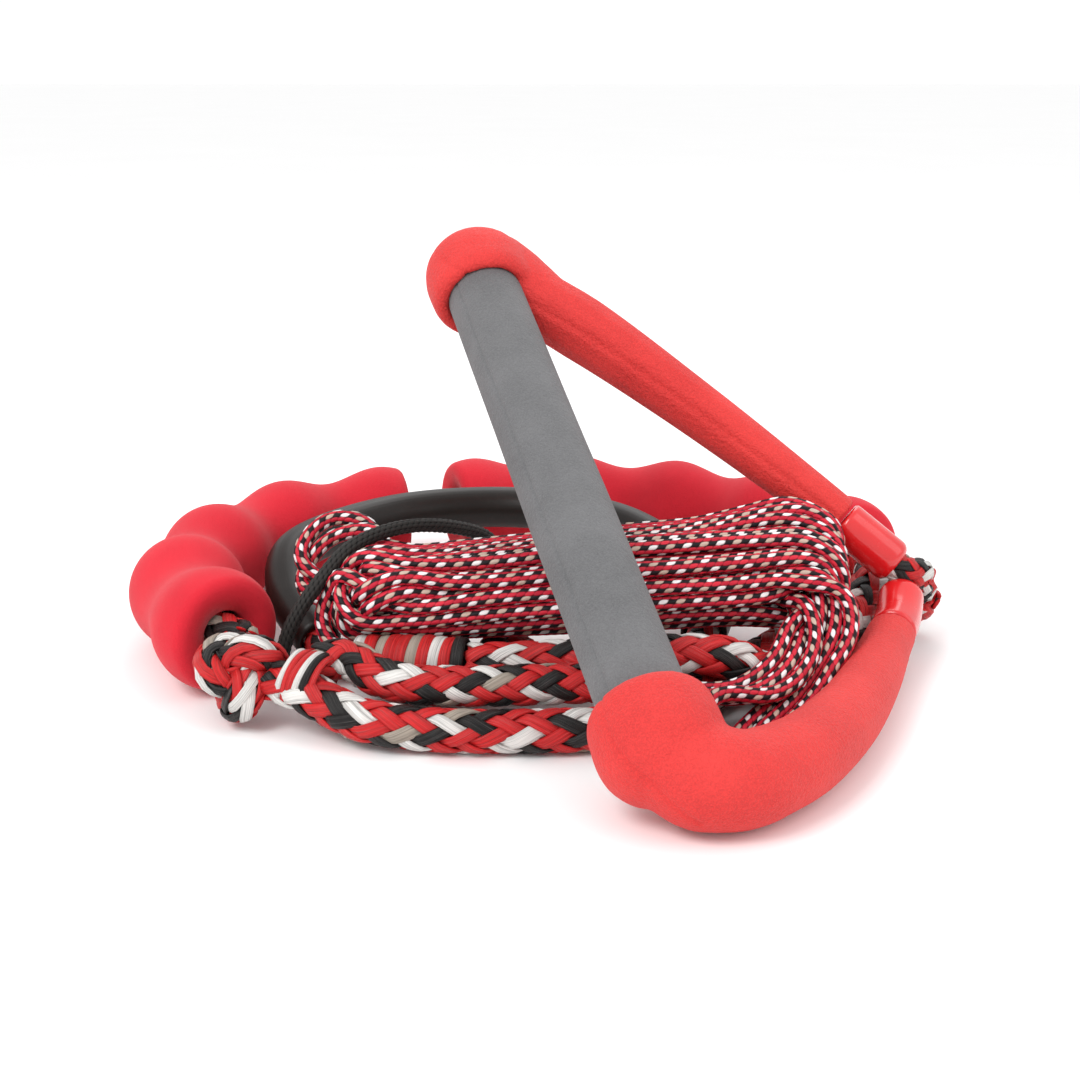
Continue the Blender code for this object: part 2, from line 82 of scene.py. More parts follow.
# Floats: centre of the bend, bend radius, then the end angles in degrees; the rope enters each
# float at its own angle
FLOAT_LEFT = (np.array((-0.0312, 0.0259, 0.0217)), 97.0 * MM, 104.2, 222.3)
FLOAT_RIGHT = (np.array((0.0133, 0.0143, 0.0217)), 124.7 * MM, 20.5, 112.4)
ROPE_IN_LEFT = 227.0
ROPE_IN_RIGHT = 115.0
FLOAT_CREST_R = 21.6 * MM
FLOAT_WAIST_R = 16.8 * MM
FLOAT_CRESTS = 5
FLOAT_END = 10.0 * MM
FLOAT_BORE_R = 8.4 * MM
FLOAT_ROUNDING = 3.0 * MM

# Cords
ROPE_R = 7.0 * MM
TAIL_R = 6.0 * MM
LINE_D = 5.8 * MM
LINE_STEP = 4.0 * MM
TIE_D = 5.2 * MM
HOSE_R = 8.5 * MM
HOSE_BORE_R = 6.9 * MM
LOOP_ROPE_R = 5.6 * MM
KNOT_CENTRE = np.array((-0.0947, -0.0651, 0.0178))
KNOT_GAP = 18.2 * MM
WHIPPING_CENTRE = np.array((-0.0722, -0.0704, 0.0172))
WHIPPING_AXIS = np.array((0.0180, -0.0060, -0.0015))
BOAT_KNOT_CENTRE = np.array((-0.0062, -0.0296, 0.0095))
RING_END = (
    (0.1328, 0.0394, 0.0226),
    (0.1303, 0.0264, 0.0222),
    (0.1228, 0.0114, 0.0175),
    (0.1153, -0.0076, 0.0130),
    (0.1073, -0.0266, 0.0092),
    (0.0968, -0.0411, 0.0092),
    (0.0828, -0.0500, 0.0112),
    (0.0658, -0.0586, 0.0208),
    (0.0468, -0.0611, 0.0226),
    (0.0238, -0.0626, 0.0220),
    (-0.0022, -0.0616, 0.0200),
    (-0.0192, -0.0576, 0.0182),
)
LEADER = (
    (0.1483, 0.0194, 0.0180),
    (0.1468, 0.0279, 0.0105),
    (0.1358, 0.0334, 0.0076),
    (0.1168, 0.0294, 0.0074),
    (0.1023, 0.0094, 0.0074),
    (0.0878, -0.0136, 0.0074),
    (0.0728, -0.0336, 0.0074),
    (0.0618, -0.0536, 0.0074),
    (0.0468, -0.0746, 0.0074),
    (0.0268, -0.0866, 0.0074),
    (0.0038, -0.0896, 0.0074),
    (-0.0262, -0.0896, 0.0076),
    (-0.0502, -0.0861, 0.0090),
    (-0.0617, -0.0801, 0.0112),
)
TAIL = (
    (-0.0592, -0.0651, 0.0225),
    (-0.0482, -0.0731, 0.0195),
    (-0.0362, -0.0771, 0.0182),
    (-0.0162, -0.0781, 0.0182),
    (0.0038, -0.0776, 0.0185),
    (0.0228, -0.0771, 0.0190),
)
HOOP = (
    (-0.0762, -0.0096, 0.0092),
    (-0.0892, 0.0124, 0.0180),
    (-0.0922, 0.0364, 0.0270),
    (-0.0802, 0.0604, 0.0300),
    (-0.0542, 0.0884, 0.0305),
    (-0.0212, 0.0999, 0.0305),
    (0.0118, 0.0954, 0.0300),
    (0.0398, 0.0724, 0.0290),
    (0.0598, 0.0444, 0.0220),
    (0.0678, 0.0184, 0.0125),
    (0.0638, -0.0016, 0.0092),
)
HOOP_LEFT_TAIL = (
    (-0.0702, -0.0186, 0.0062),
    (-0.0522, -0.0281, 0.0060),
    (-0.0292, -0.0306, 0.0060),
    (-0.0200, -0.0303, 0.0070),
)
HOOP_RIGHT_TAIL = (
    (0.0588, -0.0106, 0.0070),
    (0.0418, -0.0226, 0.0060),
    (0.0168, -0.0288, 0.0060),
    (0.0076, -0.0292, 0.0070),
)
TIE = (
    (-0.0819, -0.0371, 0.0049),
    (-0.0750, -0.0352, 0.0080),
    (-0.0650, -0.0310, 0.0138),
    (-0.0540, -0.0225, 0.0155),
    (-0.0400, -0.0100, 0.0155),
    (-0.0260, 0.0030, 0.0165),
    (-0.0150, 0.0130, 0.0215),
    (-0.0105, 0.0175, 0.0310),
    (-0.0162, 0.0134, 0.0420),
    (-0.0302, -0.0006, 0.0500),
    (-0.0462, -0.0136, 0.0530),
    (-0.0612, -0.0266, 0.0500),
    (-0.0722, -0.0361, 0.0395),
    (-0.0807, -0.0401, 0.0270),
    (-0.0847, -0.0401, 0.0160),
    (-0.0857, -0.0381, 0.0095),
)
FEED = (
    (-0.0617, -0.0481, 0.0172),
    (-0.0687, -0.0436, 0.0215),
    (-0.0727, -0.0366, 0.0270),
    (-0.0727, -0.0311, 0.0315),
    (-0.0700, -0.0291, 0.0330),
)
# Solid braid: rows of stitches round a cord, a stitch's length, and each row's start in stitches
ROWS = 10
STITCH = 3.0 * MM
STITCH_SHIFT = 1.5

# Hank: station along X, centre Y, centre Z, half depth, half height
HANK = np.array(
    (
        (-0.0662, -0.0296, 0.03300, 0.0060, 0.00500),
        (-0.0622, -0.0296, 0.03325, 0.0140, 0.00975),
        (-0.0522, -0.0296, 0.03350, 0.0200, 0.01250),
        (-0.0262, -0.0286, 0.03480, 0.0250, 0.01520),
        (0.0038, -0.0266, 0.03705, 0.0290, 0.01745),
        (0.0338, -0.0236, 0.03830, 0.0320, 0.01870),
        (0.0638, -0.0176, 0.03780, 0.0330, 0.01820),
        (0.0838, -0.0096, 0.03800, 0.0320, 0.01800),
        (0.0958, -0.0116, 0.03650, 0.0240, 0.01550),
        (0.1038, -0.0156, 0.03450, 0.0160, 0.01150),
        (0.1093, -0.0196, 0.03350, 0.0070, 0.00550),
    )
)
LEAST_BEND_R = 11.8 * MM
HANK_LEFT = -60.0 * MM
HANK_RIGHT = 94.0 * MM
# The hank's rows of turns: height above its middle as a share of its half height, the number of
# turns, and how many places across the row a turn comes back below
HANK_ROWS = ((0.86, 5, 0), (0.52, 8, 2), (0.17, 9, 4))
# The turns that end in a low loop, and those that end in a high one with its way along Y
LOW_LOOPS = {0, 2, 4}
HIGH_LOOPS = {16: -1, 19: 1}
# A low loop's route, and each point's share of the loop's shift along -X
LOW_LOOP = (
    (0.1050, -0.0300, 0.0400, 0.3),
    (0.1030, -0.0450, 0.0260, 0.7),
    (0.0925, -0.0640, 0.0120, 1.0),
    (0.0790, -0.0790, 0.0062, 1.0),
    (0.0640, -0.0920, 0.0050, 1.0),
    (0.0520, -0.1000, 0.0060, 0.6),
    (0.0445, -0.0960, 0.0110, 0.4),
    (0.0530, -0.0890, 0.0130, 0.6),
    (0.0700, -0.0790, 0.0120, 1.0),
    (0.0860, -0.0650, 0.0170, 1.0),
    (0.0950, -0.0500, 0.0250, 0.7),
    (0.0970, -0.0360, 0.0300, 0.0),
)
# A high loop's route, and each point's shares of the loop's shift along Y and Z
HIGH_LOOP = (
    (-0.0640, -0.0170, 0.0300, 1.0, 0.0),
    (-0.0780, -0.0110, 0.0290, 1.0, 0.0),
    (-0.0860, -0.0020, 0.0330, 0.0, 1.0),
    (-0.0800, 0.0060, 0.0430, 1.0, 1.0),
    (-0.0660, 0.0070, 0.0490, 1.0, 0.5),
    (-0.0500, 0.0000, 0.0470, 1.0, 0.0),
)
LINE_END = (
    (-0.0670, -0.0250, 0.0250),
    (-0.0640, -0.0230, 0.0160),
    (-0.0480, -0.0240, 0.0105),
    (-0.0330, -0.0270, 0.0098),
    (-0.0200, -0.0296, 0.0096),
)


# ---- routes


def unit(v):
    v = np.asarray(v, float)
    return v / np.linalg.norm(v)


def running(path):
    """The distance run at each point of a path."""
    return np.concatenate([[0.0], np.cumsum(np.linalg.norm(np.diff(path, axis=0), axis=1))])


def length_of(path):
    return float(np.linalg.norm(np.diff(path, axis=0), axis=1).sum())


def evenly(fine, step):
    """Even steps along a finely sampled path."""
    run = running(fine)
    count = max(2, round(run[-1] / step))
    even = np.linspace(0.0, run[-1], count + 1)
    return np.column_stack([np.interp(even, run, fine[:, k]) for k in range(3)])


def route(points, step):
    """Even steps along a smooth curve through the given points."""
    pts = np.array(points, float)
    padded = np.vstack([2 * pts[0] - pts[1], pts, 2 * pts[-1] - pts[-2]])
    t = np.linspace(0.0, 1.0, 24, endpoint=False)[None, :, None]
    count = len(padded) - 3
    p0, p1, p2, p3 = (padded[k : k + count, None, :] for k in range(4))
    fine = 0.5 * (
        2 * p1
        + (p2 - p0) * t
        + (2 * p0 - 5 * p1 + 4 * p2 - p3) * t**2
        + (3 * p1 - p0 - 3 * p2 + p3) * t**3
    )
    return evenly(np.vstack([fine.reshape(-1, 3), pts[-1]]), step)


def bend_point(bend, degrees):
    """A point on the circle that a float is bent to."""
    a = math.radians(degrees)
    return bend[0] + np.array((bend[1] * math.cos(a), bend[1] * math.sin(a), 0.0))


def ring_points():
    """The thick rope's route from the stopper knot, through both floats and along the front."""
    left = [bend_point(FLOAT_LEFT, ROPE_IN_LEFT - 6.3 * k) for k in range(21)]
    right = [bend_point(FLOAT_RIGHT, ROPE_IN_RIGHT - 5.0 * k) for k in range(21)]
    start = KNOT_CENTRE + unit(left[0] - KNOT_CENTRE) * KNOT_GAP
    return [start, *left, *right, *RING_END]


def side_frames(path):
    """Tangents and two side directions that don't twist along the path."""
    tangents = np.gradient(path, axis=0)
    tangents /= np.linalg.norm(tangents, axis=1)[:, None]
    one = np.empty_like(path)
    first = np.cross(tangents[0], (0.0, 0.0, 1.0))
    if np.linalg.norm(first) < 0.1:
        first = np.cross(tangents[0], (1.0, 0.0, 0.0))
    one[0] = unit(first)
    for i in range(1, len(path)):
        v = one[i - 1] - tangents[i] * one[i - 1].dot(tangents[i])
        one[i] = v / math.sqrt(v.dot(v))
    return tangents, one, np.cross(tangents, one)


def turned_to(axis):
    """The rotation that takes Z to an axis, as an array."""
    return np.array(Vector(axis).to_track_quat("Z", "Y").to_matrix())


# ---- meshes


def mesh_object(name, verts, quads, caps=(), values=None):
    """A mesh piece. values is {attribute name: one vector for each corner of each quad}."""
    mesh = bpy.data.meshes.new(name)
    mesh.from_pydata(np.asarray(verts).tolist(), [], [*np.asarray(quads).tolist(), *caps])
    for key, corners in (values or {}).items():
        layer = mesh.attributes.new(key, "FLOAT_VECTOR", "CORNER")
        full = np.zeros((len(mesh.loops), 3), np.float32)
        flat = np.asarray(corners, np.float32).reshape(-1, 3)
        full[: len(flat)] = flat
        layer.data.foreach_set("vector", full.ravel())
    mesh.shade_smooth()
    obj = bpy.data.objects.new(name, mesh)
    SCENE.collection.objects.link(obj)
    return obj


def loft(rings):
    """Vertices, quads and end caps of a skin over rings of equally many points."""
    n, m = rings.shape[:2]
    i = (np.arange(n - 1) * m)[:, None]
    k = np.arange(m)[None, :]
    k2 = (k + 1) % m
    quads = np.stack([i + k, i + k2, i + m + k2, i + m + k], axis=-1).reshape(-1, 4)
    caps = [list(range(m - 1, -1, -1)), list(range((n - 1) * m, n * m))]
    return rings.reshape(-1, 3), quads, caps


def closed_loft(rings):
    """Vertices and quads of a skin whose last ring is the first one again."""
    n, m = rings.shape[:2]
    return rings[:-1].reshape(-1, 3), loft(rings)[1] % ((n - 1) * m)


def swept(path, radius, sides):
    """Rings round a path; the radius is one number, one for each ring or one for each point."""
    _, one, two = side_frames(path)
    a = np.linspace(0, 2 * math.pi, sides, endpoint=False)
    rim = np.cos(a)[None, :, None] * one[:, None] + np.sin(a)[None, :, None] * two[:, None]
    radius = np.asarray(radius, float)
    if radius.ndim < 2:
        radius = np.broadcast_to(radius, (len(path),))[:, None]
    return path[:, None] + rim * radius[:, :, None]


def corner_values(left, right, run, third):
    """One vector (across, along, third) for each corner of each quad of a loft."""
    low = np.broadcast_to(run[:-1, None], left.shape)
    high = np.broadcast_to(run[1:, None], left.shape)
    corners = [(left, low), (right, low), (right, high), (left, high)]
    third = np.full_like(left, third)
    return np.stack([np.stack([u, v, third], axis=-1) for u, v in corners], axis=2).reshape(-1, 3)


def ring_values(n, m, run, turns=1.0):
    """Corner values (around, along, 0) for a loft, running on past its seam."""
    around = np.broadcast_to((np.arange(m) / m * turns)[None, :], (n - 1, m))
    return corner_values(around, around + turns / m, run, 0.0)


def strand_values(n, m, run, tone):
    """Corner values (across the strand, along it, its yarn number)."""
    across = np.cos(np.linspace(0, 2 * math.pi, m + 1))
    left = np.broadcast_to(across[None, :-1], (n - 1, m))
    right = np.broadcast_to(across[None, 1:], (n - 1, m))
    return corner_values(left, right, run, tone)


def flat_strand(centres, out, width, thick, sides=8):
    """A flat strand's rings, from its centres and its outward directions."""
    along = np.gradient(centres, axis=0)
    along /= np.linalg.norm(along, axis=1)[:, None]
    across = np.cross(along, out)
    across /= np.linalg.norm(across, axis=1)[:, None]
    a = np.linspace(0, 2 * math.pi, sides, endpoint=False)
    c = np.sign(np.cos(a)) * np.abs(np.cos(a)) ** 0.8
    wide = across[:, None] * c[None, :, None] * (width / 2)
    deep = out[:, None] * np.sin(a)[None, :, None] * (thick / 2)
    return centres[:, None] + wide + deep


def joined(name, strands):
    """One mesh piece of many strands; each is (rings, yarn number)."""
    verts, quads, caps, values = [], [], [], []
    base = 0
    for rings, tone in strands:
        v, q, c = loft(rings)
        verts.append(v)
        quads.append(q + base)
        caps += [[i + base for i in cap] for cap in c]
        values.append(strand_values(*rings.shape[:2], running(rings.mean(axis=1)), tone))
        base += len(v)
    values = {"strand": np.vstack(values)}
    return mesh_object(name, np.vstack(verts), np.vstack(quads), caps, values)


# Yarn numbers, and the order of the eight strands that turn each way
RED, WHITE, BLACK, SAND = 0.0, 1.0, 2.0, 3.0
FORWARD = (RED, RED, WHITE, BLACK, RED, RED, BLACK, WHITE)
BACKWARD = (RED, BLACK, RED, WHITE, RED, RED, BLACK, SAND)
BRAID_STEP = 1.7 * MM
SHADE_FILL_SIDES = 10


def braid(name, points, radius, pitch=75 * MM, width=4.5 * MM, thick=1.5 * MM):
    """A hollow braid of sixteen flat strands: each goes over two and under two."""
    path = route(points, BRAID_STEP)
    _, one, two = side_frames(path)
    run = running(path)
    # The strands' middle radius, and how far a crossing lifts or presses them from it
    middle = radius - thick * 0.95
    lift = thick * 0.62
    strands = []
    for way, tones in ((1, FORWARD), (-1, BACKWARD)):
        for k, tone in enumerate(tones):
            turn = 2 * math.pi * k / len(tones) + way * 2 * math.pi * run / pitch
            crossings = 2 * k + way * 2 * len(tones) * run / pitch
            over = np.clip(np.cos(2 * math.pi * (crossings - 0.5) / 4) * 1.35, -1, 1) * way
            jitter = 0.10 * MM * np.sin(run * RNG.uniform(90, 160) + RNG.uniform(0, 6.28))
            wander = 0.05 * np.sin(run * RNG.uniform(60, 110) + RNG.uniform(0, 6.28))
            out = np.cos(turn + wander)[:, None] * one + np.sin(turn + wander)[:, None] * two
            centres = path + out * (middle + lift * over + jitter)[:, None]
            wide = width * (1 + 0.08 * RNG.standard_normal())
            strands.append((flat_strand(centres, out, wide, thick), tone + k / 100))
    # A black tube under the strands: a dark fill that stands for the shade inside the hollow braid,
    # seen through the gaps.
    strands.append((swept(path, middle - thick * 0.9, SHADE_FILL_SIDES), BLACK))
    return joined(name, strands), path


# ---- materials


class Tree:
    """Short calls for a material's nodes."""

    def __init__(self, name):
        self.mat = bpy.data.materials.new(name)
        self.mat.use_nodes = True
        self.nodes = self.mat.node_tree.nodes
        self.links = self.mat.node_tree.links
        self.shader = self.nodes["Principled BSDF"]

    def add(self, kind, inputs=None, **settings):
        node = self.nodes.new(kind)
        for key, value in settings.items():
            setattr(node, key, value)
        for key, value in (inputs or {}).items():
            self.set(node.inputs[key], value)
        return node

    def set(self, socket, value):
        if isinstance(value, bpy.types.NodeSocket):
            self.links.new(value, socket)
        else:
            socket.default_value = value

    def math(self, operation, a, b=0.0, c=0.0):
        node = self.add("ShaderNodeMath", operation=operation)
        for socket, value in zip(node.inputs, (a, b, c)):
            self.set(socket, value)
        return node.outputs[0]

    def times(self, a, b):
        return self.math("MULTIPLY", a, b)

    def vector(self, *parts):
        node = self.add("ShaderNodeCombineXYZ")
        for socket, value in zip(node.inputs, parts):
            self.set(socket, value)
        return node.outputs[0]

    def parts_of(self, attribute):
        """The three numbers of a mesh attribute."""
        values = self.add("ShaderNodeAttribute", attribute_name=attribute)
        split = self.add("ShaderNodeSeparateXYZ", {"Vector": values.outputs["Vector"]})
        return split.outputs

    def mix(self, factor, a, b):
        node = self.add("ShaderNodeMix", data_type="RGBA")
        self.set(node.inputs[0], factor)
        for socket, value in ((node.inputs[6], a), (node.inputs[7], b)):
            self.set(socket, (*value, 1.0) if isinstance(value, tuple) else value)
        return node.outputs[2]

    def ramp(self, factor, low, high):
        node = self.add("ShaderNodeMapRange", {"From Min": low, "From Max": high})
        self.set(node.inputs["Value"], factor)
        return node.outputs[0]

    def noise(self, scale, detail, vector, rough=0.55):
        inputs = {"Scale": scale, "Detail": detail, "Roughness": rough, "Vector": vector}
        return self.add("ShaderNodeTexNoise", inputs).outputs["Fac"]

    def bump(self, height, distance, strength):
        inputs = {"Height": height, "Distance": distance, "Strength": strength}
        return self.add("ShaderNodeBump", inputs).outputs["Normal"]

    def place(self):
        return self.add("ShaderNodeTexCoord").outputs["Object"]

    def finish(self, colour, normal=None, **values):
        """The material, with any other values of its shader by name."""
        self.set(self.shader.inputs["Base Color"], colour)
        if normal is not None:
            self.links.new(normal, self.shader.inputs["Normal"])
        for key, value in values.items():
            self.set(self.shader.inputs[key.replace("_", " ")], value)
        return self.mat


def foam(name, dark, light, grain, depth, rough, sheen, speck=0.0):
    """Moulded or cut closed-cell foam: cloudy colour, pebbled skin and fine cells."""
    t = Tree(name)
    at = t.place()
    cloud = t.ramp(t.noise(45.0, 3.0, at), 0.3, 0.7)
    cells = t.noise(grain * 2.3, 2.0, at)
    pale = tuple(min(1.0, c * 1.35) for c in light)
    colour = t.mix(cloud, dark, light)
    colour = t.mix(t.times(t.ramp(cells, 0.40, 0.68), 0.42), colour, pale)
    if speck:
        spots = t.ramp(t.noise(grain * 3.1, 1.0, at), 0.66, 0.74)
        colour = t.mix(t.times(spots, speck), colour, tuple(c * 0.35 for c in dark))
    pebbles = t.add("ShaderNodeTexVoronoi", {"Scale": grain, "Vector": at}, feature="SMOOTH_F1")
    skin = t.math("MULTIPLY_ADD", pebbles.outputs["Distance"], -0.8, cells)
    normal = t.bump(skin, depth, 0.7)
    return t.finish(colour, normal, Roughness=rough, Sheen_Weight=sheen, Sheen_Roughness=0.45)


def yarn_colour(t, number):
    """Red, white, black or sand, from a strand's yarn number."""
    colour = t.mix(t.math("GREATER_THAN", number, 0.5), (0.60, 0.014, 0.016), (0.76, 0.74, 0.71))
    colour = t.mix(t.math("GREATER_THAN", number, 1.5), colour, (0.008, 0.007, 0.007))
    return t.mix(t.math("GREATER_THAN", number, 2.5), colour, (0.40, 0.34, 0.28))


def strand_material(name):
    """Flat polyethylene yarn: many fine filaments side by side, with a soft gloss, painted shade
    between the fibre bundles and painted highlights along the filaments.
    """
    t = Tree(name)
    across, along, number = t.parts_of("strand")
    bundles = t.vector(t.times(across, 6.0), t.times(along, 40.0), t.times(number, 37.0))
    fibres = t.noise(1.0, 4.0, bundles, 0.65)
    fine = t.vector(t.times(across, 26.0), t.times(along, 60.0), t.times(number, 53.0))
    threads = t.noise(1.0, 2.0, fine)
    colour = yarn_colour(t, number)
    # Darker in the low grooves between fibre bundles: painted shade.
    colour = t.mix(t.ramp(fibres, 0.32, 0.58), t.mix(0.55, colour, (0.0, 0.0, 0.0)), colour)
    # A faint near-white tint along the fine threads: painted highlights on the filaments.
    colour = t.mix(t.times(t.ramp(threads, 0.52, 0.72), 0.10), colour, (1.0, 0.93, 0.90))
    height = t.math("ADD", fibres, t.times(threads, 0.6))
    normal = t.bump(height, 0.35 * MM, 0.8)
    return t.finish(colour, normal, Roughness=0.42, Specular_IOR_Level=0.22)


def odd(t, number):
    """One where a whole number is odd, else zero."""
    return t.math("GREATER_THAN", t.math("FRACT", t.times(number, 0.5)), 0.25)


def line_material(name, black=False):
    """Solid braid: rows of slanting stitches round the line, every other row mixed, with painted
    shade in the grooves between stitches.
    """
    t = Tree(name)
    around, along, _ = t.parts_of("weave")
    row = t.math("FLOOR", around)
    v = t.math("SUBTRACT", t.math("FRACT", around), 0.5)
    slanted = t.math("ADD", t.math("ADD", along, t.times(row, STITCH_SHIFT)), t.times(v, 0.40))
    stitch = t.math("FLOOR", slanted)
    u = t.math("SUBTRACT", t.math("FRACT", slanted), 0.5)
    squared = [t.math("POWER", t.math("ABSOLUTE", t.times(w, 2.0)), 2.2) for w in (u, v)]
    round_off = t.math("ADD", *squared)
    # 1 on a stitch's middle, 0 in the groove round it; the colour is darkened toward the grooves as
    # painted shade.
    bead = t.ramp(round_off, 1.35, 0.65)
    if black:
        # Near-black in the grooves, dark grey on the stitches: painted shade between stitches.
        colour = t.mix(bead, (0.004, 0.004, 0.004), (0.030, 0.028, 0.026))
        rough = 0.6
    else:
        fours = t.math("FLOOR", t.math("DIVIDE", stitch, 4.0))
        four = t.math("SUBTRACT", stitch, t.times(fours, 4.0))
        pale = t.mix(t.math("GREATER_THAN", four, 1.5), (0.86, 0.83, 0.83), (0.56, 0.43, 0.35))
        accent = t.mix(odd(t, four), pale, (0.010, 0.008, 0.010))
        vary = t.add("ShaderNodeTexWhiteNoise", {"Vector": t.vector(row, stitch)})
        red = t.mix(vary.outputs["Value"], (0.46, 0.010, 0.030), (0.68, 0.028, 0.052))
        colour = t.mix(odd(t, row), red, accent)
        # Dark crimson in the grooves between stitches: painted shade.
        colour = t.mix(bead, t.mix(0.78, colour, (0.035, 0.0, 0.004)), colour)
        rough = 0.45
    slope = t.math("ADD", v, t.times(u, 0.6))
    threads = t.noise(1.0, 2.0, t.vector(t.times(slope, 9.0), t.times(along, 1.5), row))
    dome = t.math("SQRT", t.ramp(round_off, 1.7, 0.0))
    normal = t.bump(t.math("ADD", dome, t.times(threads, 0.25)), 0.55 * MM, 0.9)
    return t.finish(colour, normal, Roughness=rough, Specular_IOR_Level=0.2)


def gloss_material(name):
    """Dipped vinyl sleeve: wet-looking red with slight ripples and faint handling marks."""
    t = Tree(name)
    at = t.place()
    cloud = t.ramp(t.noise(60.0, 2.0, at), 0.35, 0.7)
    colour = t.mix(cloud, (0.60, 0.008, 0.011), (0.69, 0.014, 0.016))
    marks = t.ramp(t.noise(420.0, 5.0, at, 0.7), 0.45, 0.8)
    rough = t.math("MULTIPLY_ADD", marks, 0.14, 0.20)
    ripple = t.bump(t.noise(120.0, 2.0, at), 0.25 * MM, 0.5)
    return t.finish(colour, ripple, Roughness=rough, Coat_Weight=0.5, Coat_Roughness=0.12)


def hose_material(name):
    """Satin black-brown hose with faint drawn lines along it and light dust."""
    t = Tree(name)
    around, along, _ = t.parts_of("weave")
    lines = t.noise(1.0, 3.0, t.vector(t.times(around, 60.0), t.times(along, 6.0)))
    dust = t.ramp(t.noise(300.0, 5.0, t.place(), 0.7), 0.5, 0.85)
    colour = t.mix(t.times(dust, 0.22), (0.010, 0.0068, 0.0055), (0.040, 0.029, 0.024))
    rough = t.math("MULTIPLY_ADD", lines, 0.2, 0.30)
    normal = t.bump(lines, 0.12 * MM, 0.5)
    return t.finish(colour, normal, Roughness=rough, Specular_IOR_Level=0.28)


def plain_material(name, colour, rough, metallic):
    """Drawn metal or moulded plastic with fine brushed variation."""
    t = Tree(name)
    grain = t.noise(700.0, 3.0, t.place())
    tone = t.mix(t.ramp(grain, 0.3, 0.7), tuple(c * 0.85 for c in colour), colour)
    roughness = t.math("MULTIPLY_ADD", grain, 0.2, rough - 0.1)
    normal = t.bump(grain, 0.08 * MM, 0.4)
    return t.finish(tone, normal, Roughness=roughness, Metallic=metallic)


MATS = {
    "grip_foam_grey": foam(
        "eva_grip_grey", (0.100, 0.100, 0.103), (0.140, 0.140, 0.144),
        grain=800.0, depth=0.50 * MM, rough=0.95, sheen=0.1, speck=0.5,
    ),
    "arm_foam_red": foam(
        "moulded_foam_red", (0.56, 0.018, 0.016), (0.67, 0.030, 0.026),
        grain=800.0, depth=0.80 * MM, rough=0.68, sheen=0.03,
    ),
    "float_foam_red": foam(
        "float_foam_red", (0.52, 0.005, 0.018), (0.61, 0.009, 0.024),
        grain=1800.0, depth=0.16 * MM, rough=0.9, sheen=0.08,
    ),
    "sleeve_gloss_red": gloss_material("sleeve_gloss_red"),
    "thick_braid": strand_material("ribbon_yarn"),
    "line_braid": line_material("solid_braid_line"),
    "tie_braid_black": line_material("solid_braid_black", black=True),
    "hose_black": hose_material("satin_hose"),
    "core_alloy": plain_material("drawn_alloy", (0.75, 0.76, 0.78), rough=0.35, metallic=1.0),
    "bush_plastic": plain_material(
        "moulded_black_plastic", (0.03, 0.03, 0.03), rough=0.5, metallic=0.0
    ),
}


def dress(obj, slot, body, *nodes):
    """Gives a piece the slot's material and its body, and hides the CAD nodes that it stands for.
    """
    obj.data.materials.clear()
    obj.data.materials.append(MATS[slot])
    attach(obj, body)
    if nodes:
        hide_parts(*nodes)
    return obj


# ---- camera


def make_camera():
    data = bpy.data.cameras.new("camera")
    data.lens = CAMERA_LENS
    camera = bpy.data.objects.new("camera", data)
    camera.location = CAMERA_AT
    camera.rotation_euler = (math.radians(CAMERA_TILT), 0.0, 0.0)
    SCENE.collection.objects.link(camera)
    SCENE.camera = camera


# ---- the wound line


def hank_at(x):
    """Centre Y, centre Z, half depth and half height of the hank at a station."""
    return [np.interp(x, HANK[:, 0], HANK[:, k]) for k in range(1, 5)]


def slot_point(x, a, b):
    """A point of a turn; a and b are its places across the hank and up it, from -1 to 1."""
    cy, cz, hy, hz = hank_at(x)
    on_hump = b > 0.3 and a > 0.0
    hump = 12.0 * MM * math.exp(-(((x - 0.088) / 0.012) ** 2)) if on_hump else 0.0
    return (x, cy + (hy - 2 * MM) * a, cz + (hz - 2 * MM) * b + hump)


def fold(p, q, way, reach):
    """Points of a fold that leaves p, bulges along X and comes back to q."""
    p, q = np.array(p), np.array(q)
    out = []
    for k in range(1, 8):
        s = math.pi * k / 8
        middle = p + (q - p) * (1 - math.cos(s)) / 2
        out.append(tuple(middle + np.array((way * reach * math.sin(s), 0.0, 0.0))))
    return out


def hank_slots():
    """Pairs of places across and up the hank: where a turn goes out and where it comes back."""
    pairs = []
    for b, count, step in HANK_ROWS:
        span = math.sqrt(1 - b * b) * 0.95
        slots = [-span + 2 * span * (k + 0.5) / count for k in range(count)]
        pairs += [((slots[k], b), (slots[(k + step) % count], -b)) for k in range(count)]
    return sorted(pairs)


